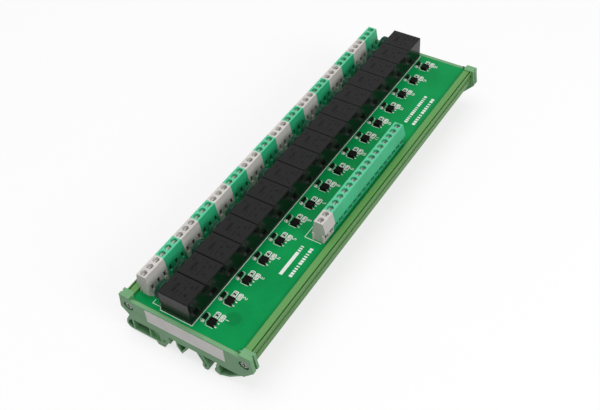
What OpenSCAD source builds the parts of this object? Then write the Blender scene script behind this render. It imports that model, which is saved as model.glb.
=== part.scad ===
// Relay interface board on a DIN-rail carrier.
// X runs along the board, +Y is the relay output side, +Z is up.
// The origin is under the middle of the part, level with the lowest hooks.

/* [Channels] */
// Number of relay channels
channels = 16; // [4:1:16]
// Distance from one relay to the next
relay_pitch = 15.5; // [15.5:0.1:18]
// From the end of the part to the first relay
end_margin = 4; // [3.6:0.1:12]

/* [Circuit board] */
// Width of the circuit board
board_w = 72; // [72:0.5:84]
// Thickness of the circuit board
board_t = 1.6; // [1:0.1:2.4]

/* [Relays] */
// Width of one relay along the board
relay_w = 15.3; // [13:0.1:15.4]
// Depth of one relay across the board
relay_d = 18.8; // [17:0.1:20]
// Height of one relay above the board
relay_h = 15.3; // [12:0.1:20]
// From the back of the relays to the board's edge on the output side
relay_setback = 20; // [19:0.1:21]
// Diameter of a relay lead
relay_lead_d = 1; // [0.6:0.1:1.2]

/* [Terminals] */
// Distance from one terminal pole to the next
pole_pitch = 5; // [5:0.02:5.08]
// Height of a terminal block above the board
terminal_h = 14.6; // [13.6:0.1:18]
// Width of the screw side, the flat top of a block
terminal_top = 5.6; // [5.4:0.1:6.5]
// How far the back of a block leans out at its foot
terminal_lean = 2.1; // [1.5:0.1:2.5]
// Thickness of the wall between two poles
pole_wall = 1.1; // [0.9:0.05:1.3]
// From the back of the output blocks to the board's edge
output_setback = 10.9; // [10.4:0.1:11.4]
// From the back of the input blocks to the board's edge
input_setback = 11.5; // [11:0.1:12]
// Number of grey two-pole input blocks
supply_blocks = 1; // [1:1:1]
// Number of green two-pole input blocks
signal_blocks = 8; // [1:1:8]

/* [Small parts] */
// From the front of the relays to the middle of the diodes
diode_gap = 3.1; // [2.4:0.1:3.3]
// Length of a diode
diode_l = 3.4; // [2:0.1:4]
// Diameter of a diode
diode_d = 1.9; // [1.2:0.1:2.2]
// From the diodes to the middle of the optocouplers
opto_gap = 5.3; // [5:0.1:6]
// Length of an optocoupler's body along the board
opto_l = 4.4; // [3:0.1:5]
// Depth of its body across the board
opto_d = 4; // [3:0.1:4.4]
// Height of its body
opto_h = 2; // [1.4:0.1:3]
// Length of a chip resistor or light
chip_l = 2; // [1:0.1:3]
// Width of a chip resistor or light
chip_w = 1.25; // [0.8:0.05:1.6]
// From the resistors to the lights
led_gap = 3.4; // [2:0.1:3.6]

// Diameter of a disc varistor
varistor_d = 10.6; // [9:0.1:11.6]
// Thickness of a disc varistor
varistor_t = 4; // [3:0.1:4.4]
// From the relays to the disc varistors
varistor_gap = 0.6; // [0.4:0.1:1]

/* [Carrier] */
// Wall thickness of the carrier
wall = 1.8; // [1.4:0.1:2.2]
// Width of the rim on each side of the board
rim_w = 5.1; // [4.9:0.1:7]
// Thickness of the rim over the board
rim_t = 1.4; // [1.2:0.1:2]
// How far the rim reaches over the board
rim_lap = 1.3; // [0.8:0.1:1.6]
// Height of the board above the underside of the carrier
board_level = 13.2; // [12.4:0.1:20]

/* [End caps] */
// Thickness of the plate across the end
cap_t = 2.2; // [2:0.1:3.2]
// Thickness of the collar round the carrier
collar_t = 1.5; // [1.2:0.1:2.4]
// Length of the collar along the carrier
collar_len = 5; // [4:0.1:9]
// Length of the rail foot along the carrier
foot_len = 11; // [9:0.5:16]
// Width of the mounting rail that the foot holds
rail_w = 35; // [35:0.1:35.4]
// Thickness of the mounting rail
rail_t = 1; // [0.9:0.1:1.5]
// Height of the collar above the rail seat
seat_h = 5.6; // [5:0.1:12]
// Thickness of the hook under the rail
hook_t = 5.2; // [4.8:0.1:5.6]

/* [Label] */
// Width of the blank label
label_w = 49.6; // [30:0.1:50]
// Height of the blank label
label_h = 9.8; // [6:0.1:10]
// From the upper edge of the plate to the label
label_gap = 1; // [0.5:0.1:3]

/* [Hidden] */
poles_per_relay = 3;
fit = 0.1;                                    // clearance of parts that slide together
eps = 0.01;
$fn = 32;

// Levels, measured from the lowest hooks
rail_gap = 0.2;
seat_z = hook_t + rail_t + rail_gap;          // the rail's face lies here
cap_z = seat_z + seat_h;                      // underside of the end caps
tray_z = cap_z + collar_t;                    // underside of the carrier
board_z = tray_z + board_level;               // underside of the board
top_z = board_z + board_t;                    // component side of the board
rim_z = top_z + fit + rim_t;                  // top of the rim
cap_top_z = rim_z + 0.7;                      // top of the corner blocks
plate_z = top_z;                              // top of the plate between the corners

// Lengths and widths
row_len = channels * relay_pitch;
part_len = row_len + 2 * end_margin;
tray_len = part_len - 2 * cap_t;
board_len = tray_len - 2 * fit;
opening_y = board_w / 2 - rim_lap;            // inner edge of the rim
tray_y = opening_y + rim_w;                   // outer face of the carrier
collar_y = tray_y + collar_t;                 // outer face of the end caps
corner_y = opening_y - 0.1;                   // inner face of the corner blocks
chamfer_z = 8;                                // height of the sloping lower corner
chamfer_y = 6.2;                              // and how far it comes in
screw_y = board_w / 2 + 0.6;                  // screw channels of the carrier
screw_z = board_z - 4;
screw_r = 1.25;
head_r = 2.6;
head_t = 0.9;
head_sink = 1.4;                              // depth of the recess for the head

// Rows of parts on the board
output_len = poles_per_relay * pole_pitch;
output_x0 = -channels * output_len / 2;
input_blocks = supply_blocks + signal_blocks;
input_len = 2 * pole_pitch;
input_x0 = -input_blocks * input_len / 2;
relay_x0 = -row_len / 2;
relay_y = board_w / 2 - relay_setback - relay_d / 2;
output_y = board_w / 2 - output_setback;
input_y = board_w / 2 - input_setback;
diode_y = relay_y - relay_d / 2 - diode_gap;
opto_y = diode_y - opto_gap;
varistor_y = relay_y + relay_d / 2 + varistor_gap + varistor_t / 2;

function two(i) = str(i < 10 ? "0" : "", i);
function relay_x(i) = relay_x0 + (i - 0.5) * relay_pitch;
function output_x(i) = output_x0 + (i - 0.5) * output_len;
function input_x(i) = input_x0 + (i - 0.5) * input_len;
function output_pole_x(i, k) = output_x(i) + (k - (poles_per_relay + 1) / 2) * pole_pitch;
function input_pole_x(i, k) = input_x(i) + (k - 1.5) * pole_pitch;

// Turns an outline drawn in Y and Z into a solid along X
module along_x(length) {
    rotate([90, 0, 90])
        linear_extrude(length)
            children();
}

// Same, centred on X = 0
module across_x(length) {
    translate([-length / 2, 0, 0])
        along_x(length)
            children();
}

module both_sides() {
    children();
    mirror([1, 0]) children();
}

// ---- Carrier ---------------------------------------------------------------

// Right half of the carrier's outer outline, grown by "grow"
module carrier_outline(grow = 0) {
    polygon([
        [0, tray_z - grow],
        [tray_y - chamfer_y + grow / 2, tray_z - grow],
        [tray_y + grow, tray_z + chamfer_z - grow / 2],
        [tray_y + grow, rim_z],
        [0, rim_z]
    ]);
}

module carrier_section() {
    ledge_t = 1.4;
    inner_y = tray_y - wall;
    difference() {
        union() {
            difference() {
                carrier_outline();
                // the tray's inside
                polygon([
                    [-1, tray_z + wall],
                    [tray_y - chamfer_y - wall / 2, tray_z + wall],
                    [inner_y, tray_z + chamfer_z + wall / 2],
                    [inner_y, rim_z + 1],
                    [-1, rim_z + 1]
                ]);
            }
            // rim over the board and ledge under it
            translate([opening_y, top_z + fit]) square([tray_y - opening_y, rim_t]);
            translate([opening_y, board_z - ledge_t]) square([tray_y - opening_y, ledge_t]);
            translate([screw_y, screw_z]) circle(r = screw_r + 1.6);
            translate([screw_y, screw_z - 0.9]) square([tray_y - screw_y - eps, 1.8]);
        }
        translate([screw_y, screw_z]) circle(r = screw_r);
        // groove along the top and groove along the outside
        translate([tray_y - 1.5, rim_z - 1.1]) square([0.9, 2]);
        translate([tray_y - 0.8, rim_z - 4.1]) square([2, 1.8]);
        // slot that the board slides into
        translate([opening_y - 1, board_z]) square([board_w / 2 + fit - opening_y + 1, board_t + fit]);
    }
}

module carrier_profile() {
    color("yellowgreen")
        across_x(tray_len)
            both_sides() carrier_section();
}

// ---- End caps --------------------------------------------------------------

module cap_outline() {
    flare = 1;                                 // the sides stand out towards their foot
    both_sides()
        polygon([
            [0, cap_z],
            [tray_y - chamfer_y + collar_t + 0.1, cap_z],
            [collar_y + flare, tray_z + chamfer_z - 1.6],
            [collar_y, plate_z],
            [collar_y, cap_top_z],
            [corner_y, cap_top_z],
            [corner_y, plate_z],
            [0, plate_z]
        ]);
}

module collar_hollow() {
    both_sides() carrier_outline(fit / 2);
}

rail_y = rail_w / 2 + rail_gap;
arm_z = 2.6;                                   // lower edge of the arm of the fixed hook

// Outline of the foot that grips the rail, fixed hook at +Y
module foot_outline() {
    tip = 2.4;                                 // how far a hook reaches under the rail
    // fixed hook, its arm and the rounded outer end
    polygon([
        [rail_y - 5.2, cap_z + 0.5],
        [rail_y - 5.6, seat_z],
        [rail_y - tip - 0.2, seat_z],
        [rail_y - tip - 0.2, seat_z + 0.3],
        [rail_y, seat_z + 0.3],
        [rail_y, hook_t],
        [rail_y - tip, hook_t],
        [rail_y - tip + 1.6, 0],
        [rail_y + 3.6, 0],
        [rail_y + 4.4, arm_z],
        [collar_y - 2.4, arm_z],
        [collar_y - 0.6, arm_z + 1],
        [collar_y + 0.3, arm_z + 2.9],
        [collar_y - 0.3, cap_z - 3],
        [collar_y - 3.5, cap_z + 3],
        [collar_y - 6.5, cap_z + 1]
    ]);
    // middle tooth, inside the rail's channel
    polygon([
        [7.6, cap_z + 0.5],
        [7.6, cap_z - 4],
        [5, 2.9],
        [0.4, cap_z - 2.4],
        [-0.2, cap_z + 0.5]
    ]);
    // springy leg, bent back on itself
    polygon([
        [-5.6, cap_z + 0.5],
        [-8.7, 5.6],
        [-8.3, 2],
        [-9.3, 0],
        [-11.2, 0],
        [-12.2, 1.4],
        [-12.2, 4.6],
        [-9.4, cap_z + 0.5]
    ]);
    // release wedge with the hook for the rail's other edge
    polygon([
        [-rail_y, hook_t],
        [-rail_y + 1.3, hook_t],
        [-rail_y + 1.2, hook_t - 2.2],
        [-rail_y - 1.2, hook_t - 3.6],
        [-rail_y - 8, hook_t - 0.4],
        [-collar_y + 6.4, cap_z + 0.5],
        [-rail_y - 2, cap_z + 0.5],
        [-rail_y, cap_z - 2.6]
    ]);
}

// Hollows between the ribs of the foot
module foot_hollows() {
    polygon([
        [collar_y - 4.2, cap_z - 0.6],
        [collar_y - 1.3, cap_z - 3.2],
        [collar_y - 0.8, arm_z + 3],
        [collar_y - 1.4, arm_z + 1.8],
        [collar_y - 2.7, arm_z + 1],
        [collar_y - 4.2, arm_z + 1]
    ]);
    polygon([
        [collar_y - 5.4, cap_z - 0.4],
        [collar_y - 5.4, arm_z + 1],
        [rail_y + 8.4, arm_z + 1],
        [rail_y + 7.6, cap_z - 0.4]
    ]);
    polygon([[6.6, cap_z - 0.6], [6.6, cap_z - 3.6], [5, 5], [1.6, cap_z - 2.2], [1.2, cap_z - 0.6]]);
    polygon([
        [-rail_y - 2.6, cap_z - 0.6],
        [-rail_y - 1.6, cap_z - 3.4],
        [-rail_y - 2, hook_t - 1.8],
        [-rail_y - 7.6, hook_t + 0.8],
        [-collar_y + 9.4, cap_z - 0.6]
    ]);
}

// Slot between the two strips of the springy leg
module leg_slot() {
    polygon([[-7.1, cap_z - 0.6], [-10.1, 5], [-9.9, 2], [-10.7, 2], [-11.1, 4.6], [-8.1, cap_z - 0.6]]);
}

// Thin wall at the back of the foot, above the rail
module foot_web() {
    polygon([
        [-8, cap_z + 0.5],
        [-10.6, seat_z + 1.2],
        [-rail_y - 1, seat_z + 1.4],
        [-rail_y - 4, cap_z + 0.5]
    ]);
}

module end_cap() {
    hollow = foot_len - 2;
    color("darkseagreen")
        difference() {
            union() {
                difference() {
                    along_x(collar_len) cap_outline();
                    translate([cap_t, 0, 0]) along_x(collar_len) collar_hollow();
                    // groove behind the plate
                    for (s = [-1, 1])
                        scale([1, s, 1])
                            translate([cap_t, collar_y - 0.7, cap_z - 1]) cube([1.2, 3, cap_top_z]);
                }
                for (s = [-1, 1]) scale([1, s, 1]) corner_fillet();
                difference() {
                    along_x(foot_len) foot_outline();
                    translate([-1, 0, 0]) along_x(hollow + 1) foot_hollows();
                    // shallow panel beside the hook
                    translate([-1, rail_y + 1, arm_z + 1]) cube([2.6, 6.2, cap_z - arm_z - 1.4]);
                    translate([-1, 0, 0]) along_x(foot_len + 2) leg_slot();
                }
                translate([hollow, 0, 0]) along_x(foot_len - hollow) foot_web();
            }
            for (s = [-1, 1])
                translate([-1, s * screw_y, screw_z]) rotate([0, 90, 0]) {
                    cylinder(r = screw_r + 0.45, h = cap_t + 2);
                    cylinder(r = head_r + 0.5, h = head_sink + 1);
                }
        }
}

// Rounds off the inner corner between the plate and the rim
module corner_fillet() {
    r = 2;
    translate([cap_t, corner_y - r, top_z + fit])
        linear_extrude(cap_top_z - top_z - fit)
            difference() {
                square([r, r + 0.1]);
                translate([r, 0]) circle(r = r);
            }
}

module end_cap_near() {
    translate([-part_len / 2, 0, 0]) end_cap();
}

module end_cap_far() {
    translate([part_len / 2, 0, 0]) mirror([1, 0, 0]) end_cap();
}

module end_cap_screws() {
    color("dimgray")
        for (e = [-1, 1], s = [-1, 1])
            scale([-e, 1, 1])
                translate([-part_len / 2 + head_sink, s * screw_y, screw_z]) rotate([0, 90, 0])
                    difference() {
                        union() {
                            translate([0, 0, -head_t]) cylinder(r = head_r, h = head_t);
                            cylinder(r = screw_r, h = 10);
                        }
                        for (a = [0, 90])
                            rotate([0, 0, a]) translate([-1.7, -0.35, -head_t - 0.1]) cube([3.4, 0.7, 0.7]);
                    }
}

module label() {
    label_t = 0.12;
    color("whitesmoke")
        translate([-part_len / 2 - label_t, -label_w / 2, plate_z - label_gap - label_h])
            cube([label_t, label_w, label_h]);
}

// ---- Circuit board ---------------------------------------------------------

relay_leads = [[-7, 0], [-5, -6], [-5, 6], [7, -6], [7, 6]]; // across and along the board
pin_y = 2.45;                                  // terminal pin, from the back of the block
pin_d = 1;                                     // and its diameter
varistor_x = -1.5;                             // disc varistor, from the middle of its relay
varistor_lead_x = 3.75;                        // its leads, from its middle
varistor_lead_d = 0.8;

module lead_holes() {
    for (i = [1:channels]) {
        for (p = relay_leads)
            translate([relay_x(i) + p[1], relay_y + p[0], board_z - 1])
                cylinder(d = relay_lead_d, h = board_t + 2, $fn = 16);
        for (k = [1:poles_per_relay])
            translate([output_pole_x(i, k), output_y + pin_y, board_z - 1])
                cylinder(d = pin_d, h = board_t + 2, $fn = 16);
        for (s = [-1, 1])
            translate([relay_x(i) + varistor_x + s * varistor_lead_x, varistor_y, board_z - 1])
                cylinder(d = varistor_lead_d, h = board_t + 2, $fn = 16);
    }
    for (i = [1:input_blocks], k = [1:2])
        translate([input_pole_x(i, k), -input_y - pin_y, board_z - 1])
            cylinder(d = pin_d, h = board_t + 2, $fn = 16);
}

module circuit_board() {
    color("seagreen")
        difference() {
            translate([-board_len / 2, -board_w / 2, board_z]) cube([board_len, board_w, board_t]);
            lead_holes();
        }
}

// Upright rectangle with its two upper corners cut off
module bevelled(w, h) {
    bevel = 0.5;
    polygon([
        [-w / 2, 0],
        [w / 2, 0],
        [w / 2, h - bevel],
        [w / 2 - bevel, h],
        [-w / 2 + bevel, h],
        [-w / 2, h - bevel]
    ]);
}

module relay(i) {
    color("dimgray")
        translate([relay_x(i), relay_y, top_z]) {
            intersection() {
                across_x(relay_w) bevelled(relay_d, relay_h);
                rotate([0, 0, 90]) across_x(relay_d) bevelled(relay_w, relay_h);
            }
            for (p = relay_leads)
                translate([p[1], p[0], -board_t - 1.5]) cylinder(d = relay_lead_d, h = board_t + 2, $fn = 16);
        }
}

// ---- Terminal blocks -------------------------------------------------------
// Drawn with the back at Y = 0, the wire side towards +Y and the board at Z = 0

ridge_z = 7.4;                                 // height of the ridge over the wire entries
ridge_out = 1.5;                               // how far it stands out from the top edge
entry_in = 1.1;                                // how far the wire entries lie behind it
cell_y0 = 1.9;                                 // inside of a pole
cell_y1 = terminal_lean + terminal_top - 0.6;
cell_top = 8.8;
shelf_z = terminal_h - 3.4;                    // the screw's head rests here
screw_mid = terminal_lean + terminal_top / 2;
cell_w = pole_pitch - pole_wall;

module block_outline() {
    front = terminal_lean + terminal_top;
    polygon([
        [0, 0],
        [terminal_lean, terminal_h],
        [front, terminal_h],
        [front + ridge_out, ridge_z],
        [front + ridge_out, ridge_z - 0.8],
        [front + ridge_out - entry_in, ridge_z - 0.8],
        [front + ridge_out - entry_in, 0]
    ]);
}

// Upright ribs that lock a block to its neighbour
module dovetail_ribs(grow) {
    back = 0.75;
    front = terminal_lean + terminal_top + 0.1;
    for (y = [back, front - 0.9])
        translate([0, y - grow, -grow]) cube([0.5 + eps + grow, 0.9 + 2 * grow, 5.4 + 2 * grow]);
}

module terminal_block(poles, tint) {
    length = poles * pole_pitch;
    color(tint)
        difference() {
            union() {
                across_x(length) block_outline();
                translate([length / 2 - eps, 0, 0]) dovetail_ribs(0);
            }
            translate([-length / 2 - eps, 0, 0]) dovetail_ribs(fit);
            for (k = [1:poles])
                translate([(k - (poles + 1) / 2) * pole_pitch, 0, 0]) {
                    // cell for the clamp, open to the board
                    translate([-cell_w / 2, cell_y0, -1]) cube([cell_w, cell_y1 - cell_y0, cell_top + 1]);
                    // wire entry
                    translate([-cell_w / 2 + 0.2, cell_y1 - 1, 1.6]) cube([cell_w - 0.4, 6, 4.4]);
                    // screw well and the hole under its shelf
                    translate([0, screw_mid, shelf_z]) cylinder(d = 3.7, h = 10);
                    translate([0, screw_mid, cell_top - 1]) cylinder(d = 2.8, h = 10);
                    // slot in the back
                    translate([-0.9, -1, 3.7]) cube([1.8, 4, 3.8]);
                }
            // the back stands in between the poles
            for (k = [0:poles])
                translate([(k - poles / 2) * pole_pitch - 0.7, -1, -1]) cube([1.4, 1.7, 5.2]);
        }
}

module clamp() {
    w = cell_w - 2 * fit;
    d = 3.8;
    difference() {
        translate([-w / 2, screw_mid - d / 2, 1.4]) cube([w, d, 6]);
        translate([-w / 2 + 0.7, screw_mid - d, 2.2]) cube([w - 1.4, 2 * d, 3.6]);
        translate([0, screw_mid, 0]) cylinder(d = 2.4, h = 10);
    }
}

module clamp_screw() {
    difference() {
        union() {
            translate([0, screw_mid, shelf_z]) cylinder(d = 3.5, h = 1.8);
            translate([0, screw_mid, 5]) cylinder(d = 2.4, h = shelf_z - 5 + eps);
        }
        translate([-2, screw_mid - 0.35, shelf_z + 1]) cube([4, 0.7, 2]);
    }
}

module terminal_pin() {
    translate([-0.85, pin_y - 0.4, 4.2]) cube([1.7, screw_mid - pin_y + 2, 0.8]);
    translate([0, pin_y, -board_t - 1.6]) cylinder(d = pin_d, h = board_t + 1.6 + 4.3, $fn = 16);
}

module at_output(i) {
    translate([output_x(i), output_y, top_z]) children();
}

module at_input(i) {
    translate([input_x(i), -input_y, top_z]) rotate([0, 0, 180]) children();
}

module output_poles() {
    for (i = [1:channels], k = [1:poles_per_relay])
        translate([output_pole_x(i, k), output_y, top_z]) children();
}

module input_poles() {
    for (i = [1:input_blocks], k = [1:2])
        translate([input_pole_x(i, k), -input_y, top_z]) rotate([0, 0, 180]) children();
}

module output_terminal(i) {
    at_output(i) terminal_block(poles_per_relay, i % 2 == 1 ? "gainsboro" : "mediumseagreen");
}

module input_terminal(i) {
    at_input(i) terminal_block(2, i <= supply_blocks ? "gainsboro" : "mediumseagreen");
}

module output_clamps() { color("silver") output_poles() clamp(); }
module output_screws() { color("lightgray") output_poles() clamp_screw(); }
module output_pins() { color("tan") output_poles() terminal_pin(); }
module input_clamps() { color("silver") input_poles() clamp(); }
module input_screws() { color("lightgray") input_poles() clamp_screw(); }
module input_pins() { color("tan") input_poles() terminal_pin(); }

// ---- Small parts of each channel -------------------------------------------

module each_channel(dx, y) {
    for (i = [1:channels]) translate([relay_x(i) + dx, y, top_z]) children();
}

module varistors() {
    rim = varistor_t * 0.2;
    r = varistor_d / 2;
    up = r + 3.3;                              // middle of the disc above the board
    color("darkgreen")
        each_channel(varistor_x, varistor_y) {
            translate([0, 0, up]) rotate([90, 0, 0])
                rotate_extrude()
                    polygon([
                        [0, -varistor_t / 2],
                        [r - rim, -varistor_t / 2],
                        [r, rim - varistor_t / 2],
                        [r, varistor_t / 2 - rim],
                        [r - rim, varistor_t / 2],
                        [0, varistor_t / 2]
                    ]);
            for (s = [-1, 1])
                translate([s * varistor_lead_x, 0, -board_t - 1.5])
                    cylinder(d = varistor_lead_d, h = board_t + 1.5 + up - 2, $fn = 16);
        }
}

module diodes() {
    color("black")
        each_channel(-0.2, diode_y) {
            translate([-diode_l / 2, 0, diode_d / 2]) rotate([0, 90, 0]) cylinder(d = diode_d, h = diode_l, $fn = 24);
            // the two solder ends
            for (s = [-1, 1])
                translate([s * (diode_l / 2 - 0.1) - 0.3, -diode_d * 0.4, 0]) cube([0.6, diode_d * 0.8, diode_d * 0.5]);
        }
}

module optocouplers() {
    lead_w = 0.4;
    lead_t = 0.2;
    reach = 0.8;                               // of a lead beyond the body
    color("black")
        each_channel(-1.6, opto_y) {
            translate([-opto_l / 2, -opto_d / 2, 0.1]) cube([opto_l, opto_d, opto_h]);
            for (s = [-1, 1], x = [-1.27, 1.27])
                translate([x - lead_w / 2, 0, 0]) along_x(lead_w) scale([s, 1])
                    polygon([
                        [opto_d / 2 - eps, opto_h / 2 + lead_t],
                        [opto_d / 2 + 0.4, opto_h / 2 + lead_t],
                        [opto_d / 2 + 0.5, lead_t],
                        [opto_d / 2 + reach + 0.4, lead_t],
                        [opto_d / 2 + reach + 0.4, 0],
                        [opto_d / 2 + 0.3, 0],
                        [opto_d / 2 + 0.2, opto_h / 2],
                        [opto_d / 2 - eps, opto_h / 2]
                    ]);
        }
}

resistor_x = 3.4;                              // beside the optocoupler

module resistors() {
    color("black")
        each_channel(resistor_x, opto_y + 0.8)
            translate([-chip_l / 2, -chip_w / 2, 0]) cube([chip_l, chip_w, 0.55]);
}

module status_leds() {
    color("honeydew")
        each_channel(resistor_x, opto_y + 0.8 - led_gap)
            translate([-chip_l / 2, -chip_w / 2, 0]) cube([chip_l, chip_w, 0.8]);
}

// ---- Nodes -----------------------------------------------------------------

carrier_profile();
end_cap_near();
end_cap_far();
end_cap_screws();
label();
circuit_board();
for (i = [1:channels]) relay(i);
for (i = [1:channels]) output_terminal(i);
for (i = [1:input_blocks]) input_terminal(i);
output_clamps();
output_screws();
output_pins();
input_clamps();
input_screws();
input_pins();
varistors();
diodes();
optocouplers();
resistors();
status_leds();
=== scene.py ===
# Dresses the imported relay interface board: materials, print, solder, floor, light and camera.
import math

import bmesh
import bpy
from mathutils import Matrix, Vector

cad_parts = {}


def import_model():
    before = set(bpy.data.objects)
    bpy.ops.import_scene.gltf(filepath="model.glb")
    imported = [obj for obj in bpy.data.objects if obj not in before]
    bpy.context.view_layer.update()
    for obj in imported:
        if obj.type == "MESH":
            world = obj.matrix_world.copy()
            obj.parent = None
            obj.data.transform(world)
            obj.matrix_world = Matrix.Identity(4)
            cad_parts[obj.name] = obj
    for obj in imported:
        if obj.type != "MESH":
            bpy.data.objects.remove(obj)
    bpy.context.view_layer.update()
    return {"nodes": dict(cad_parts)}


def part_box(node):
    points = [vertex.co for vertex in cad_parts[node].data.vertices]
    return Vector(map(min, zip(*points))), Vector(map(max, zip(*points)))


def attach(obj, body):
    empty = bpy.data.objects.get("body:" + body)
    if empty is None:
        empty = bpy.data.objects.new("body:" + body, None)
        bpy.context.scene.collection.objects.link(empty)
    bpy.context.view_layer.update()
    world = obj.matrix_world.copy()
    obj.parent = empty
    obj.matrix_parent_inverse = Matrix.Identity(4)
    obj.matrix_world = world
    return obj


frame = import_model()
nodes = frame["nodes"]
MM = 0.001                                            # a millimetre, in metres
PER_METRE = 1000.0                                    # millimetres in a metre


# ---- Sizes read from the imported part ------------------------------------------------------

def names(prefix):
    return sorted(n for n in nodes if n.startswith(prefix))


def centre(node):
    low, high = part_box(node)
    return (low + high) / 2


def middle_y(low, high):
    return (low.y + high.y) / 2


RELAYS = names("relay_")
OUTPUTS = names("output_terminal_")
INPUTS = names("input_terminal_")
FIRST_RELAY = centre(RELAYS[0])
RELAY_LOW, RELAY_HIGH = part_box(RELAYS[0])
RELAY_PITCH = (centre(RELAYS[-1]).x - FIRST_RELAY.x) / (len(RELAYS) - 1)
BOARD_LOW, BOARD_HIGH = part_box("circuit_board")
TOP = BOARD_HIGH.z                                    # component side of the board
DIODE_LOW, DIODE_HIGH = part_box("diodes")
CHIP_LOW, CHIP_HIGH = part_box("optocouplers")
RESISTOR_LOW, RESISTOR_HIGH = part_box("resistors")
LED_LOW, LED_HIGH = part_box("status_leds")
DIODE_Y = middle_y(DIODE_LOW, DIODE_HIGH)
RESISTOR_Y = middle_y(RESISTOR_LOW, RESISTOR_HIGH)
LED_Y = middle_y(LED_LOW, LED_HIGH)

# Middle of the small parts along the row, from the middle of their relay
DIODE_DX = -0.2 * MM
CHIP_DX = -1.6 * MM
RESISTOR_DX = 3.4 * MM                                # of the status light too


# ---- Mesh helpers -------------------------------------------------------------------------

def placed(name, bm, material):
    """Turns a bmesh into an object of the scene."""
    mesh = bpy.data.meshes.new(name)
    bm.to_mesh(mesh)
    bm.free()
    mesh.materials.append(material)
    obj = bpy.data.objects.new(name, mesh)
    bpy.context.scene.collection.objects.link(obj)
    return obj


def piece(name, bm, material):
    """Turns a bmesh in the part's frame into a piece that rides on the part."""
    bmesh.ops.recalc_face_normals(bm, faces=bm.faces)
    obj = placed(name, bm, material)
    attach(obj, "root")


def prism(bm, outline, z, height, taper=0.0):
    """Plate on the outline at height z; taper draws its upper edge in."""
    middle = sum((Vector(p) for p in outline), Vector((0, 0))) / len(outline)
    lower = [bm.verts.new((x, y, z)) for x, y in outline]
    upper = []
    for x, y in outline:
        inward = (middle - Vector((x, y))).normalized() * taper
        upper.append(bm.verts.new((x + inward.x, y + inward.y, z + height)))
    count = len(outline)
    bm.faces.new(lower)
    bm.faces.new(upper)
    for i in range(count):
        j = (i + 1) % count
        bm.faces.new((lower[i], lower[j], upper[j], upper[i]))


def rectangle(x0, y0, x1, y1, corner=0.0, steps=4):
    """Outline of a rectangle, with round corners if a radius is given."""
    if corner <= 0:
        return [(x0, y0), (x1, y0), (x1, y1), (x0, y1)]
    points = []
    for cx, cy, start in ((x1 - corner, y0 + corner, -90), (x1 - corner, y1 - corner, 0),
                          (x0 + corner, y1 - corner, 90), (x0 + corner, y0 + corner, 180)):
        for k in range(steps + 1):
            angle = math.radians(start + 90 * k / steps)
            points.append((cx + corner * math.cos(angle), cy + corner * math.sin(angle)))
    return points


def rectangle_about(x, y, half_length, half_width, corner, steps=4):
    return rectangle(x - half_length, y - half_width, x + half_length, y + half_width, corner, steps)


# ---- Shader helpers -----------------------------------------------------------------------

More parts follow.
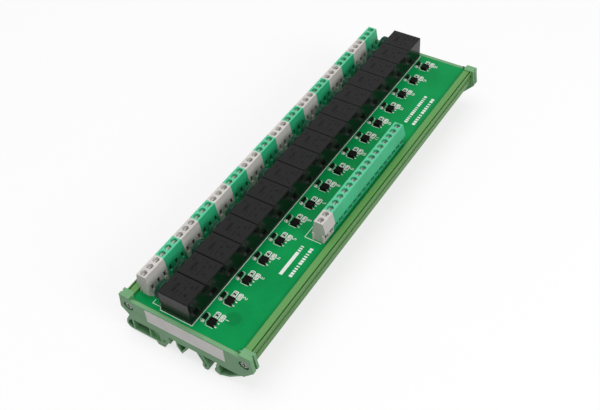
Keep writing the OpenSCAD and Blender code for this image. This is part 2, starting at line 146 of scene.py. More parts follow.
class Shader:
    """A Principled material whose nodes are added and linked by name."""

    def __init__(self, name, colour, roughness, **fixed):
        self.material = bpy.data.materials.new(name)
        self.material.use_nodes = True
        self.material.diffuse_color = (*colour, 1)
        self.tree = self.material.node_tree
        self.tree.nodes.clear()
        self.bsdf = self.add("ShaderNodeBsdfPrincipled")
        output = self.add("ShaderNodeOutputMaterial")
        self.tree.links.new(self.bsdf.outputs["BSDF"], output.inputs["Surface"])
        self.bsdf.inputs["Base Color"].default_value = (*colour, 1)
        self.bsdf.inputs["Roughness"].default_value = roughness
        for key, value in fixed.items():
            self.bsdf.inputs[key.replace("_", " ")].default_value = value
        self.place = self.add("ShaderNodeTexCoord").outputs["Object"]

    def add(self, kind, **settings):
        node = self.tree.nodes.new(kind)
        for key, value in settings.items():
            setattr(node, key, value)
        return node

    def plug(self, source, socket):
        """Links a socket, or sets a plain value."""
        if isinstance(source, bpy.types.NodeSocket):
            self.tree.links.new(source, socket)
        else:
            socket.default_value = source

    # arithmetic

    def math(self, operation, a, b=0.0, c=0.0):
        node = self.add("ShaderNodeMath", operation=operation)
        for socket, value in zip(node.inputs, (a, b, c)):
            self.plug(value, socket)
        return node.outputs[0]

    def in_mm(self, metres):
        return self.math("MULTIPLY", metres, PER_METRE)

    def hypotenuse(self, a, b):
        squares = self.math("ADD", self.math("MULTIPLY", a, a), self.math("MULTIPLY", b, b))
        return self.math("SQRT", squares)

    def spread(self, value, low, high, out_low=0.0, out_high=1.0):
        """Maps low..high to out_low..out_high and clamps."""
        node = self.add("ShaderNodeMapRange")
        for name, v in (("Value", value), ("From Min", low), ("From Max", high),
                        ("To Min", out_low), ("To Max", out_high)):
            self.plug(v, node.inputs[name])
        return node.outputs["Result"]

    def vary(self, noise, low, high):
        """A value, such as a roughness, that wanders from low to high with a noise."""
        return self.spread(noise, 0.3, 0.7, low, high)

    def within(self, value, middle, half, soft=0.05):
        """1 where the value is within half of the middle, with a soft limit."""
        away = self.math("ABSOLUTE", self.math("SUBTRACT", value, middle))
        return self.spread(away, half - soft, half + soft, 1.0, 0.0)

    # places and patterns

    def scaled(self, x=1.0, y=1.0, z=1.0):
        """Object coordinates in millimetres, each axis times a factor."""
        node = self.add("ShaderNodeMapping")
        self.plug(self.place, node.inputs["Vector"])
        node.inputs["Scale"].default_value = (PER_METRE * x, PER_METRE * y, PER_METRE * z)
        return node.outputs[0]

    def axis(self, name):
        """One of the object coordinates, in metres."""
        node = self.add("ShaderNodeSeparateXYZ")
        self.plug(self.place, node.inputs[0])
        return node.outputs[name]

    def channel_x(self, offset=0.0):
        """X within a channel, in millimetres from the relay's middle plus the offset."""
        moved = self.math("SUBTRACT", self.axis("X"), FIRST_RELAY.x + offset * MM)
        return self.in_mm(self.math("WRAP", moved, RELAY_PITCH / 2, -RELAY_PITCH / 2))

    def upward(self, low):
        """Mask of the faces that look up: 0 where the normal's Z is low, 1 from 0.95."""
        parts = self.add("ShaderNodeSeparateXYZ")
        self.plug(self.add("ShaderNodeNewGeometry").outputs["Normal"], parts.inputs[0])
        return self.spread(parts.outputs["Z"], low, 0.95)

    def noise(self, scale, detail=3.0, stretch=(1, 1, 1)):
        """Noise with a grain of about 1 / scale millimetres."""
        node = self.add("ShaderNodeTexNoise")
        self.plug(self.scaled(*stretch), node.inputs["Vector"])
        node.inputs["Scale"].default_value = scale
        node.inputs["Detail"].default_value = detail
        return node.outputs["Fac"]

    # colour and relief

    def blend(self, factor, a, b):
        node = self.add("ShaderNodeMix", data_type="RGBA")
        self.plug(factor, node.inputs["Factor"])
        for socket, colour in ((node.inputs[6], a), (node.inputs[7], b)):
            self.plug(colour if isinstance(colour, bpy.types.NodeSocket) else (*colour, 1), socket)
        return node.outputs[2]

    def cloudy(self, noise, a, b):
        """A tone that wanders between two colours with a noise."""
        return self.blend(self.spread(noise, 0.35, 0.65), a, b)

    def over(self, tone, mask, strength, colour):
        """Lays a colour over the tone where the mask is 1, at the given strength."""
        return self.blend(self.math("MULTIPLY", mask, strength), tone, colour)

    def rounded(self, radius):
        """Normals of edges rounded by the radius in millimetres, and a mask of those edges."""
        bevel = self.add("ShaderNodeBevel", samples=6)
        bevel.inputs["Radius"].default_value = radius * MM
        geometry = self.add("ShaderNodeNewGeometry")
        dot = self.add("ShaderNodeVectorMath", operation="DOT_PRODUCT")
        self.plug(bevel.outputs["Normal"], dot.inputs[0])
        self.plug(geometry.outputs["True Normal"], dot.inputs[1])
        return bevel.outputs["Normal"], self.spread(dot.outputs["Value"], 0.995, 0.80)

    def bump(self, height, strength, distance, normal=None):
        """Relief from a height, where 1 is the distance in millimetres."""
        node = self.add("ShaderNodeBump")
        node.inputs["Strength"].default_value = strength
        node.inputs["Distance"].default_value = distance * MM
        self.plug(height, node.inputs["Height"])
        if normal is not None:
            self.plug(normal, node.inputs["Normal"])
        return node.outputs["Normal"]

    def use(self, colour, roughness, normal, metallic=None):
        """Plugs what has been made into the shader and gives the material."""
        for name, value in (("Base Color", colour), ("Roughness", roughness),
                            ("Normal", normal), ("Metallic", metallic)):
            if value is not None:
                self.plug(value, self.bsdf.inputs[name])
        return self.material


def tinted(colour, factor):
    return tuple(min(1.0, c * factor) for c in colour)


# ---- Materials ----------------------------------------------------------------------------

def moulded(name, colour, roughness, grain, edge=1.25, pale=0.0, streaks=(1, 1, 1), cloud=0.10,
            lit_top_tone=None):
    """Moulded or extruded plastic with a cloudy tone and a fine grain.

    Edges are the colour times edge, plus pale, in broken bands: a painted highlight. Upper faces
    take the given paler tone: painted light on the tops.
    """
    s = Shader(name, colour, roughness, IOR=1.49)
    clouds = s.noise(0.06, 3.0, streaks)
    grains = s.noise(grain, 2.0, streaks)
    normal, edges = s.rounded(0.25)
    tone = s.cloudy(clouds, tinted(colour, 1 - cloud), tinted(colour, 1 + cloud / 2))
    tone = s.over(tone, s.spread(grains, 0.5, 0.8), 0.35, tinted(colour, 0.85))
    # Painted light: the faces that look up take the paler top tone.
    if lit_top_tone:
        tone = s.blend(s.upward(0.6), tone, lit_top_tone)
    # Painted highlight: broken bands of the paler edge colour along the edges.
    wear_and_highlight = s.math("MULTIPLY", edges, s.spread(s.noise(0.6, 2.0), 0.3, 0.6, 0.35, 0.8))
    tone = s.blend(wear_and_highlight, tone, tuple(min(0.95, c + pale) for c in tinted(colour, edge)))
    rough = s.vary(grains, roughness - 0.06, roughness + 0.08)
    return s.use(tone, rough, s.bump(grains, 0.5, 0.04, normal))


def metal(name, colour, roughness, brush=(1, 1, 1), metallic=1.0):
    """Plated or tinned metal with faint brushing and dull patches."""
    tarnish = (0.35, 0.34, 0.32)
    s = Shader(name, colour, roughness, Metallic=metallic)
    patches = s.spread(s.noise(0.8, 4.0), 0.52, 0.75)
    brushed = s.noise(7.0, 3.0, brush)
    normal, edges = s.rounded(0.12)
    tone = s.over(colour, patches, 0.4, tarnish)
    # Painted highlight: the edges are paler than the metal.
    tone = s.over(tone, edges, 0.5, tinted(colour, 1.15))
    rough = s.vary(brushed, roughness - 0.07, roughness + 0.12)
    return s.use(tone, rough, s.bump(brushed, 0.35, 0.02, normal))


# Rows of marks on the top of a relay, in millimetres: middle of the row across the board, half of
# its length, half of its height, length of a mark; and last the share of the marks left out
MARK_ROWS = (
    (6.2, 5.0, 0.50, 1.1, 0.60),
    (3.2, 3.8, 0.95, 2.4, 0.40),
    (1.0, 5.4, 0.45, 0.9, 0.60),
    (-1.6, 5.0, 0.55, 1.0, 0.50),
    (-4.4, 3.8, 0.85, 2.0, 0.45),
    (-6.6, 5.2, 0.45, 1.0, 0.65),
)
ROW_SEED = 31.7                                       # gives each row gaps of its own


def relay_marks(s):
    """Mask of the broken rows of marks, the same on each relay."""
    local_x = s.channel_x()
    local_y = s.in_mm(s.math("SUBTRACT", s.axis("Y"), FIRST_RELAY.y))
    marks = 0.0
    for i, (middle, half, tall, length, left_out) in enumerate(MARK_ROWS):
        row = s.math("MULTIPLY", s.within(local_y, middle, tall, 0.15), s.within(local_x, 0.0, half))
        cell = s.math("FLOOR", s.math("DIVIDE", local_x, length))
        chance = s.add("ShaderNodeTexWhiteNoise", noise_dimensions="1D")
        s.plug(s.math("ADD", cell, ROW_SEED * i), chance.inputs["W"])
        kept = s.math("GREATER_THAN", chance.outputs["Value"], left_out)
        marks = s.math("MAXIMUM", marks, s.math("MULTIPLY", row, kept))
    return marks


def relay_material():
    """Black case: satin top with faint dull marks, smoother sides."""
    black = (0.0042, 0.0042, 0.0042)
    s = Shader("relay_black", black, 0.3, IOR=1.5, Specular_IOR_Level=0.18)
    normal, edges = s.rounded(0.35)
    on_top = s.upward(0.75)
    wear_and_highlight = s.spread(s.noise(1.6, 3.0), 0.4, 0.6, 0.35, 1.0)
    marks = s.math("MULTIPLY", s.math("MULTIPLY", relay_marks(s), on_top), wear_and_highlight)
    grains = s.noise(9.0, 2.0)
    dust = s.spread(s.noise(1.3, 4.0), 0.55, 0.8)
    tone = s.over(black, dust, 0.10, (0.025, 0.024, 0.024))
    # Painted highlight: the edges are paler than the case.
    tone = s.over(tone, edges, 0.4, (0.03, 0.03, 0.03))
    tone = s.blend(marks, tone, (0.0005, 0.0005, 0.0006))
    top_rough = s.math("ADD", s.vary(grains, 0.40, 0.52), s.math("MULTIPLY", marks, 0.35))
    side_rough = s.vary(s.noise(0.4, 2.0), 0.17, 0.25)
    rough = s.add("ShaderNodeMix", data_type="FLOAT")
    for socket, value in ((0, on_top), (2, side_rough), (3, top_rough)):
        s.plug(value, rough.inputs[socket])
    height = s.math("SUBTRACT", s.math("MULTIPLY", grains, on_top), s.math("MULTIPLY", marks, 3.0))
    return s.use(tone, rough.outputs[0], s.bump(height, 0.6, 0.06, normal))


def board_material():
    """Glossy solder mask, slightly cloudy, over a faint glass cloth."""
    mask = (0.003, 0.312, 0.080)
    patch_x, patch_y = 15.4, -18.7                    # dark round patch, in mm from the near end
                                                      # and from the middle line
    s = Shader("solder_mask", mask, 0.22, IOR=1.5, Specular_IOR_Level=0.06)
    weave = []
    for direction in "XY":
        wave = s.add("ShaderNodeTexWave", wave_type="BANDS", bands_direction=direction)
        s.plug(s.scaled(), wave.inputs["Vector"])
        wave.inputs["Scale"].default_value = 0.7
        wave.inputs["Distortion"].default_value = 0.6
        weave.append(wave.outputs["Fac"])
    cloth = s.math("MULTIPLY", *weave)
    tone = s.cloudy(s.noise(0.05, 3.0), (0.002, 0.280, 0.070), (0.004, 0.338, 0.088))
    tone = s.over(tone, cloth, 0.10, (0.010, 0.40, 0.115))
    away = s.hypotenuse(s.math("SUBTRACT", s.in_mm(s.axis("X")), BOARD_LOW.x / MM + patch_x),
                        s.math("SUBTRACT", s.in_mm(s.axis("Y")), patch_y))
    tone = s.blend(s.spread(away, 3.6, 4.8, 0.55, 0.0), tone, (0.002, 0.185, 0.046))
    normal, edges = s.rounded(0.1)
    tone = s.over(tone, edges, 0.4, (0.05, 0.30, 0.10))
    low = BOARD_LOW.z
    # Painted shade: the bottom face of the board is darker.
    underside_shade = s.spread(s.axis("Z"), low + 0.02 * MM, low + 0.04 * MM, 1.0, 0.0)
    tone = s.over(tone, underside_shade, 0.4, (0.004, 0.20, 0.05))
    rough = s.vary(s.noise(0.5, 3.0), 0.16, 0.30)
    return s.use(tone, rough, s.bump(cloth, 0.25, 0.015, normal))


def chip_leads(s):
    """Mask of the leads on both sides of the optocouplers."""
    lead = 1.15                                       # tinned length of a lead, from its end
    reach = (CHIP_HIGH.y - CHIP_LOW.y) / 2 / MM - lead
    middle = middle_y(CHIP_LOW, CHIP_HIGH) / MM
    away = s.math("ABSOLUTE", s.math("SUBTRACT", s.in_mm(s.axis("Y")), middle))
    return s.spread(away, reach, reach + 0.05)


def small_ends(row_low, row_high, share):
    """Mask of the two ends along X of each small part in a row, as a share of its length."""
    length = (row_high.x - row_low.x - RELAY_PITCH * (len(RELAYS) - 1)) / MM
    middle = (row_low.x + length * MM / 2 - FIRST_RELAY.x) / MM
    edge = length / 2 * (1 - share)

    def mask(s):
        return s.spread(s.math("ABSOLUTE", s.channel_x(middle)), edge - 0.02, edge + 0.02)
    return mask


def ends_of_metal(name, body, tin, mask_of, roughness=0.3, speck=(0.03, 0.03, 0.03)):
    """A small part whose ends or leads are tinned; mask_of(shader) is 1 on the metal."""
    s = Shader(name, body, roughness, Specular_IOR_Level=0.05)
    tinned = mask_of(s)
    grains = s.noise(10.0, 2.0)
    normal, edges = s.rounded(0.12)
    tone = s.over(body, s.spread(grains, 0.55, 0.75), 0.4, speck)
    # Painted highlight: the edges are paler than the body.
    tone = s.over(tone, edges, 0.4, tinted(body, 2.5))
    tone = s.blend(tinned, tone, tin)
    rough = s.vary(grains, roughness - 0.08, roughness + 0.08)
    return s.use(tone, rough, s.bump(grains, 0.4, 0.02, normal), metallic=tinned)


def led_material():
    """Pale resin of the status lights, with tinned ends."""
    s = Shader("led_resin", (0.80, 0.86, 0.72), 0.18, IOR=1.5, Transmission_Weight=0.15)
    tinned = small_ends(LED_LOW, LED_HIGH, 0.35)(s)
    grains = s.noise(8.0, 2.0)
    normal = s.rounded(0.15)[0]
    tone = s.blend(s.spread(grains, 0.4, 0.7), (0.82, 0.88, 0.74), (0.72, 0.80, 0.60))
    tone = s.over(tone, tinned, 0.9, (0.80, 0.80, 0.77))
    return s.use(tone, s.vary(grains, 0.14, 0.26), s.bump(grains, 0.2, 0.01, normal))


def varistor_material():
    """Dipped dark green coat with a painted highlight in pale broken patches along its round edge,
    and bare tinned leads below it.
    """
    coat = (0.003, 0.048, 0.024)
    s = Shader("varistor_coat", coat, 0.2, IOR=1.5, Specular_IOR_Level=0.10)
    lead = s.spread(s.axis("Z"), TOP + 1.6 * MM, TOP + 2.2 * MM, 1.0, 0.0)
    drips = s.noise(0.5, 2.0)
    normal, edges = s.rounded(0.6)
    # Painted highlight: pale broken patches along the rounded edge of the disc.
    rim_highlight = s.math("MULTIPLY", edges, s.spread(s.noise(0.35, 2.0), 0.42, 0.58, 0.15, 1.0))
    tone = s.cloudy(drips, (0.002, 0.038, 0.019), (0.004, 0.060, 0.030))
    tone = s.over(tone, rim_highlight, 0.8, (0.34, 0.56, 0.44))
    tone = s.blend(lead, tone, (0.72, 0.71, 0.67))
    return s.use(tone, s.vary(drips, 0.16, 0.26), s.bump(drips, 0.2, 0.05, normal), metallic=lead)


def cap_screw_material():
    """Plated cross-head screw, with painted shade in a band round the head and inside the recess,
    and a painted highlight on its edges.
    """
    low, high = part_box("end_cap_screws")
    radius = (high.z - low.z) / 2 / MM
    s = Shader("cap_screw", (0.32, 0.34, 0.31), 0.36, Metallic=1.0)
    across = s.math("SUBTRACT", s.in_mm(s.math("ABSOLUTE", s.axis("Y"))), high.y / MM - radius)
    up = s.math("SUBTRACT", s.in_mm(s.axis("Z")), (low.z + high.z) / 2 / MM)
    # Painted shade: a band round the head and the inside of the recess are near black.
    shade_ring = s.spread(s.hypotenuse(across, up), radius * 0.70, radius * 0.85)
    depth = s.in_mm(s.math("SUBTRACT", high.x, s.math("ABSOLUTE", s.axis("X"))))
    dark = s.math("MAXIMUM", shade_ring, s.spread(depth, 0.15, 0.3))
    grains = s.noise(8.0, 2.0)
    normal, edges = s.rounded(0.15)
    tone = s.blend(s.spread(grains, 0.4, 0.7), (0.34, 0.36, 0.33), (0.22, 0.24, 0.21))
    tone = s.blend(dark, tone, (0.010, 0.014, 0.010))
    # Painted highlight: the edges are paler.
    tone = s.over(tone, edges, 0.35, (0.55, 0.60, 0.54))
    return s.use(tone, s.vary(grains, 0.30, 0.46), s.bump(grains, 0.3, 0.02, normal))


def ink_material():
    """Screen print: matt white ink with a slightly uneven film."""
    white = (0.84, 0.89, 0.84)
    roughness = 0.5
    s = Shader("white_ink", white, roughness)
    grains = s.noise(5.0, 3.0)
    thin = s.spread(s.noise(1.5, 3.0), 0.55, 0.75)
    tone = s.over(white, thin, 0.25, tinted(white, 0.8))
    rough = s.vary(grains, roughness - 0.08, roughness + 0.1)
    return s.use(tone, rough, s.bump(grains, 0.3, 0.01))


def label_material():
    """Blank satin film with a faint mottle."""
    s = Shader("label_film", (0.86, 0.84, 0.81), 0.4)
    fibres = s.noise(3.0, 4.0, (1, 0.4, 1))
    normal = s.rounded(0.1)[0]
    tone = s.cloudy(s.noise(0.12, 3.0), (0.82, 0.80, 0.77), (0.90, 0.88, 0.85))
    tone = s.over(tone, s.spread(fibres, 0.5, 0.7), 0.2, (0.72, 0.71, 0.68))
    return s.use(tone, s.vary(fibres, 0.34, 0.48), s.bump(fibres, 0.2, 0.02, normal))


# edge and pale set the painted highlight on the edges; the tones given for the upper faces are
# painted light.
CAP_GREEN = moulded("cap_green", (0.165, 0.392, 0.182), 0.45, grain=5.0, edge=1.3, pale=0.05)
CARRIER_GREEN = moulded("carrier_green", (0.090, 0.262, 0.060), 0.45, grain=3.0,
                        streaks=(0.03, 1, 1), cloud=0.16, lit_top_tone=(0.113, 0.318, 0.077))
TERMINAL_GREY = moulded("terminal_grey", (0.700, 0.668, 0.635), 0.45, grain=6.0)
TERMINAL_GREEN = moulded("terminal_green", (0.035, 0.520, 0.240), 0.42, grain=6.0, edge=1.3,
                         pale=0.12, lit_top_tone=(0.100, 0.580, 0.330))
RELAY_BLACK = relay_material()
SOLDER_MASK = board_material()
STEEL = metal("plated_steel", (0.54, 0.54, 0.52), 0.48, brush=(1, 3, 1))
CAP_SCREW = cap_screw_material()
CLAMP_STEEL = metal("clamp_steel", (0.20, 0.20, 0.19), 0.42, brush=(1, 3, 1))
SOLDER = metal("solder", (0.78, 0.79, 0.76), 0.45, metallic=0.35)
DULL_TIN = metal("dull_tin", (0.24, 0.235, 0.22), 0.40)
CHIP = ends_of_metal("optocoupler_black", (0.005, 0.0045, 0.004), (0.75, 0.75, 0.72), chip_leads,
                     roughness=0.35, speck=(0.016, 0.012, 0.010))
DIODE = ends_of_metal("diode_black", (0.004, 0.004, 0.0045), (0.80, 0.81, 0.78),
                      small_ends(DIODE_LOW, DIODE_HIGH, 0.08), speck=(0.012, 0.012, 0.012))
RESISTOR = ends_of_metal("resistor_film", (0.045, 0.035, 0.03), (0.80, 0.80, 0.77),
                         small_ends(RESISTOR_LOW, RESISTOR_HIGH, 0.45))
LED = led_material()
VARISTOR = varistor_material()
INK = ink_material()
LABEL = label_material()

NODE_MATERIAL = {
    "carrier_profile": CARRIER_GREEN,
    "end_cap_near": CAP_GREEN,
    "end_cap_far": CAP_GREEN,
    "end_cap_screws": CAP_SCREW,
    "label": LABEL,
    "circuit_board": SOLDER_MASK,
    "output_clamps": CLAMP_STEEL,
    "output_screws": STEEL,
    "output_pins": DULL_TIN,
    "input_clamps": CLAMP_STEEL,
    "input_screws": STEEL,
    "input_pins": DULL_TIN,
    "varistors": VARISTOR,
    "diodes": DIODE,
    "optocouplers": CHIP,
    "resistors": RESISTOR,
    "status_leds": LED,
}
NODE_MATERIAL.update({n: RELAY_BLACK for n in RELAYS})
# The output blocks are grey and green in turn; of the input blocks only the first is grey
NODE_MATERIAL.update({n: TERMINAL_GREEN if i % 2 else TERMINAL_GREY for i, n in enumerate(OUTPUTS)})
NODE_MATERIAL.update({n: TERMINAL_GREEN if i else TERMINAL_GREY for i, n in enumerate(INPUTS)})


def dress():
    for name, obj in nodes.items():
        obj.data.materials.clear()
        obj.data.materials.append(NODE_MATERIAL[name])


# ---- Print and solder on the board --------------------------------------------------------

INK_T = 0.03 * MM
INK_Z = TOP + 0.01 * MM


def stroke(bm, points, width, closed=False):
    """Printed line of constant width through the points, with mitred corners."""
    count = len(points)
    left, right = [], []
    for i, p in enumerate(points):
        here = Vector(p)
        before = Vector(points[i - 1]) if (closed or i > 0) else None
        after = Vector(points[(i + 1) % count]) if (closed or i < count - 1) else None
        first = (here - before if before is not None else after - here).normalized()
        second = (after - here).normalized() if after is not None else first
        across = Vector((-first.y - second.y, first.x + second.x)).normalized()
        reach = width / 2 / max(0.4, across.dot(Vector((-first.y, first.x))))
        left.append(here + across * reach)
        right.append(here - across * reach)
    for i in range(count if closed else count - 1):
        j = (i + 1) % count
        prism(bm, [tuple(p) for p in (left[i], right[i], right[j], left[j])], INK_Z, INK_T)


def board_outlines():
    """White lines round the relay row and the input strip."""
    bm = bmesh.new()
    line = 0.35 * MM
    gap = 0.45 * MM                                   # beside the relays
    near = RELAY_LOW.x - gap
    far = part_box(RELAYS[-1])[1].x + gap
    front = RELAY_LOW.y - 0.40 * MM
    back = RELAY_HIGH.y + 1.0 * MM
    jog_x, jog_y = 1.7 * MM, 1.2 * MM                 # between the relays and the output blocks
    tail = 2.6 * MM                                   # of the line before the output blocks
    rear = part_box(OUTPUTS[0])[0].y - 1.9 * MM
    stroke(bm, [(near + jog_x + tail, rear), (near + jog_x, rear), (near + jog_x, back + jog_y),
                (near, back), (near, front), (far, front), (far, back),
                (far - jog_x, back + jog_y), (far - jog_x, rear), (far - jog_x - tail, rear)], line)
    strip_low, strip_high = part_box(INPUTS[0])[0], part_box(INPUTS[-1])[1]
    margin = 0.6 * MM                                 # beside the input strip
    outer = strip_low.y + 2.4 * MM
    inner = strip_high.y + 3.7 * MM
    stroke(bm, [(strip_low.x - margin, outer), (strip_low.x - margin, inner),
                (strip_high.x + margin, inner), (strip_high.x + margin, outer)], line)
    piece("board_outlines", bm, INK)


# Strokes of a digit on a grid one wide and two high, and the strokes that each digit has
SEGMENTS = {"a": ((0, 2), (1, 2)), "b": ((1, 2), (1, 1)), "c": ((1, 1), (1, 0)),
            "d": ((0, 0), (1, 0)), "e": ((0, 1), (0, 0)), "f": ((0, 2), (0, 1)),
            "g": ((0, 1), (1, 1))}
DIGITS = {"0": "abcdef", "1": "bc", "2": "abged", "3": "abgcd", "4": "fgbc", "5": "afgcd",
          "6": "afgedc", "7": "abc", "8": "abcdefg", "9": "abcdfg"}
DIGIT_W = 1.0 * MM
DIGIT_H = 2.1 * MM
DIGIT_PITCH = 1.7                                     # in widths of a digit
DIGIT_LINE = 0.34 * MM
NUMBER_DX = 1.2 * MM                                  # from the middle of the status light
NUMBER_DY = -1.8 * MM


def number(bm, value, x, y):
    """Plain stroke digits from the point (x, y), read from the output side."""
    for place, digit in enumerate(str(value)):
        left = x - place * DIGIT_W * DIGIT_PITCH
        for key in DIGITS[digit]:
            ends = [(left - across * DIGIT_W, y - up * DIGIT_H / 2) for across, up in SEGMENTS[key]]
            stroke(bm, ends, DIGIT_LINE)


# Printed outlines round the small parts, in millimetres:
# half of the length, half of the width, radius of the corners, width of the line
DIODE_OUTLINE = (2.9, 1.45, 1.1, 0.20)
RESISTOR_OUTLINE = (2.2, 1.2, 0.5, 0.5)
LED_OUTLINE = (2.0, 1.1, 0.7, 0.45)
POLARITY_BAR = 0.7 * MM                               # width of the bar at the diode's end
CHIP_LINE = 0.3 * MM


def part_outline(bm, x, y, sizes):
    half_length, half_width, corner, line = (size * MM for size in sizes)
    stroke(bm, rectangle_about(x, y, half_length, half_width, corner), line, closed=True)


def channel_print():
    """Outlines of the small parts and the number of each channel."""
    bm = bmesh.new()
    bar_low, bar_high = DIODE_Y - 0.85 * MM, DIODE_Y + 0.85 * MM
    chip_low, chip_high = CHIP_LOW.y + 1.2 * MM, CHIP_HIGH.y - 0.9 * MM
    for i, relay in enumerate(RELAYS):
        x = centre(relay).x
        diode_x, chip_x, resistor_x = x + DIODE_DX, x + CHIP_DX, x + RESISTOR_DX
        part_outline(bm, diode_x, DIODE_Y, DIODE_OUTLINE)
        bar_x = diode_x - DIODE_OUTLINE[0] * MM
        stroke(bm, [(bar_x, bar_low), (bar_x, bar_high)], POLARITY_BAR)
        part_outline(bm, resistor_x, RESISTOR_Y, RESISTOR_OUTLINE)
        part_outline(bm, resistor_x, LED_Y, LED_OUTLINE)
        number(bm, i + 1, resistor_x + NUMBER_DX, LED_Y + NUMBER_DY)
        side_x, end_x = chip_x - 2.6 * MM, chip_x + 2.4 * MM
        across_y = chip_high + 0.5 * MM
        stroke(bm, [(side_x, across_y), (end_x, across_y)], CHIP_LINE)
        stroke(bm, [(side_x, chip_low), (side_x, chip_high)], CHIP_LINE)
    piece("channel_print", bm, INK)


# Plain bars, in millimetres from the board's near end and its middle line.
# The long bar: start, end, middle across the board, height
LONG_BAR = (51.2, 68.6, -23.5, 2.0)
# Rows of short bars: start, end, middle across the board, number of bars
BAR_ROWS = ((69.4, 74.4, -23.5, 3), (52.3, 74.9, -28.8, 12),
            (188.3, 216.1, -24.6, 15), (188.3, 216.1, -29.8, 12))
BAR_H = 1.9
BAR_CORNER = 0.2 * MM
BAR_SHARES = (0.72, 0.50, 0.80, 0.62, 0.42)           # widths of the bars, as shares of their pitch


def bar(bm, left, right, y, height, corner=0.0):
    """Printed bar from left to right, with its middle at y."""
    prism(bm, rectangle(left, y - height / 2, right, y + height / 2, corner, steps=2), INK_Z, INK_T)


def print_fields():
    """Plain bars where such boards carry writing."""
    bm = bmesh.new()
    near = BOARD_LOW.x
    start, end, y, height = LONG_BAR
    bar(bm, near + start * MM, near + end * MM, y * MM, height * MM)
    for start, end, y, count in BAR_ROWS:
        pitch = (end - start) / count
        for k in range(count):
            left = near + (start + k * pitch) * MM
            wide = pitch * BAR_SHARES[(3 * k + count) % len(BAR_SHARES)]
            bar(bm, left, left + wide * MM, y * MM, BAR_H * MM, BAR_CORNER)
    piece("print_fields", bm, INK)


# Pairs of solder pads, in millimetres: from the part's middle to a pad's, length, width of a pad
DIODE_PADS = (2.1, 0.9, 1.5)
RESISTOR_PADS = (1.05, 1.0, 1.35)                     # of the status light too
CHIP_PADS = (1.27, 0.75, 1.3)
CHIP_PAD_INSET = 0.45 * MM                            # from the ends of the leads
PAD_LIFT = 0.005 * MM
PAD_H = 0.12 * MM
PAD_CORNER = 0.2 * MM


def pad_pair(bm, x, y, sizes):
    """Two pads beside the point (x, y), whose edges slope like a fillet."""
    reach, length, width = sizes
    for side in (-1, 1):
        outline = rectangle_about(x + side * reach * MM, y, length * MM / 2, width * MM / 2,
                                  PAD_CORNER, steps=3)
        prism(bm, outline, TOP + PAD_LIFT, PAD_H, taper=PAD_H)


def solder_pads():
    """Tinned pads with a low fillet of solder under the small parts."""
    bm = bmesh.new()
    for relay in RELAYS:
        x = centre(relay).x
        pad_pair(bm, x + DIODE_DX, DIODE_Y, DIODE_PADS)
        pad_pair(bm, x + RESISTOR_DX, RESISTOR_Y, RESISTOR_PADS)
        pad_pair(bm, x + RESISTOR_DX, LED_Y, RESISTOR_PADS)
        pad_pair(bm, x + CHIP_DX, CHIP_LOW.y + CHIP_PAD_INSET, CHIP_PADS)
        pad_pair(bm, x + CHIP_DX, CHIP_HIGH.y - CHIP_PAD_INSET, CHIP_PADS)
    piece("solder_pads", bm, SOLDER)


# ---- Floor, light and camera --------------------------------------------------------------

FLOOR_HALF = 3.0
FLOOR_GREY = 0.30                                     # takes the shadow
FLOOR_GLOW = 0.72                                     # lifts it to white for the rays that see it
WORLD_LIGHT = 0.38                                    # falls on the part
WORLD_SEEN = 1.0                                      # shows behind it and in its reflections


def seen(tree):
    """1 for rays that should see the plain background: camera, glossy and transmission rays."""
    path = tree.nodes.new("ShaderNodeLightPath")
    total = path.outputs["Is Camera Ray"]
    for name in ("Is Glossy Ray", "Is Transmission Ray"):
        larger = tree.nodes.new("ShaderNodeMath")
        larger.operation = "MAXIMUM"
        tree.links.new(total, larger.inputs[0])
        tree.links.new(path.outputs[name], larger.inputs[1])
        total = larger.outputs[0]
    return total


def floor_material():
    """Grey that takes a shadow, plus a glow that only some rays see."""
    material = bpy.data.materials.new("floor_white")
    material.use_nodes = True
    tree = material.node_tree
    tree.nodes.clear()
    add, link = tree.nodes.new, tree.links.new
    diffuse = add("ShaderNodeBsdfDiffuse")
    diffuse.inputs["Color"].default_value = (FLOOR_GREY, FLOOR_GREY, FLOOR_GREY, 1)
    strength = add("ShaderNodeMath")
    strength.operation = "MULTIPLY"
    strength.inputs[1].default_value = FLOOR_GLOW
    link(seen(tree), strength.inputs[0])
    glow = add("ShaderNodeEmission")
    link(strength.outputs[0], glow.inputs["Strength"])
    total = add("ShaderNodeAddShader")
    link(diffuse.outputs[0], total.inputs[0])
    link(glow.outputs[0], total.inputs[1])
    link(total.outputs[0], add("ShaderNodeOutputMaterial").inputs["Surface"])
    return material


def floor():
    bm = bmesh.new()
    corners = rectangle(-FLOOR_HALF, -FLOOR_HALF, FLOOR_HALF, FLOOR_HALF)
    bm.faces.new([bm.verts.new((x, y, 0)) for x, y in corners])
    placed("floor", bm, floor_material())


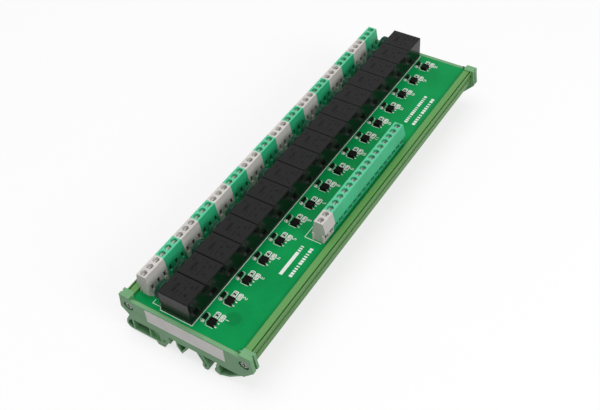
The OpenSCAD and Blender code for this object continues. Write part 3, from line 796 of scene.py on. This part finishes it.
def world():
    """Plain white to look at, dimmer as a light."""
    studio = bpy.data.worlds.new("studio")
    bpy.context.scene.world = studio
    studio.use_nodes = True
    tree = studio.node_tree
    tree.nodes.clear()
    add, link = tree.nodes.new, tree.links.new
    level = add("ShaderNodeMapRange")
    level.inputs["To Min"].default_value = WORLD_LIGHT
    level.inputs["To Max"].default_value = WORLD_SEEN
    link(seen(tree), level.inputs["Value"])
    background = add("ShaderNodeBackground")
    background.inputs["Color"].default_value = (1, 1, 1, 1)
    link(level.outputs["Result"], background.inputs["Strength"])
    link(background.outputs[0], add("ShaderNodeOutputWorld").inputs["Surface"])


def lamp(name, place, target, size, watts):
    """Round soft lamp that looks at the target."""
    light = bpy.data.lights.new(name, "AREA")
    light.shape = "DISK"
    light.size = size
    light.energy = watts
    obj = bpy.data.objects.new(name, light)
    bpy.context.scene.collection.objects.link(obj)
    obj.location = place
    obj.rotation_euler = (Vector(target) - Vector(place)).to_track_quat("-Z", "Y").to_euler()


def lights():
    lamp("top_light", place=(-0.10, 0.15, 1.3), target=(0, 0, 0.02), size=1.0, watts=6.6)
    lamp("front_light", place=(-0.25, -1.3, 0.9), target=(0, 0, 0.03), size=0.9, watts=9.0)


def camera():
    """Looks from the near end and the input side, 46 degrees down."""
    azimuth = math.radians(54.14)                     # of the view, from +Y towards +X
    elevation = math.radians(46.14)
    roll = math.radians(-4.92)
    place = Vector((-0.3134, -0.2127, 0.3958))
    forward = Vector((math.sin(azimuth) * math.cos(elevation),
                      math.cos(azimuth) * math.cos(elevation), -math.sin(elevation)))
    right = forward.cross(Vector((0, 0, 1))).normalized()
    up = right.cross(forward)
    turned_right = right * math.cos(roll) + up * math.sin(roll)
    turned_up = up * math.cos(roll) - right * math.sin(roll)
    turn = Matrix((turned_right, turned_up, -forward)).transposed().to_4x4()
    data = bpy.data.cameras.new("camera")
    data.sensor_width = 36.0
    data.lens = 54.76
    data.clip_start = 0.01
    data.clip_end = 20.0
    obj = bpy.data.objects.new("camera", data)
    obj.matrix_world = Matrix.Translation(place) @ turn
    bpy.context.scene.collection.objects.link(obj)
    bpy.context.scene.camera = obj


camera()
dress()
board_outlines()
channel_print()
print_fields()
solder_pads()
floor()
world()
lights()
bpy.context.scene.view_settings.view_transform = "Standard"
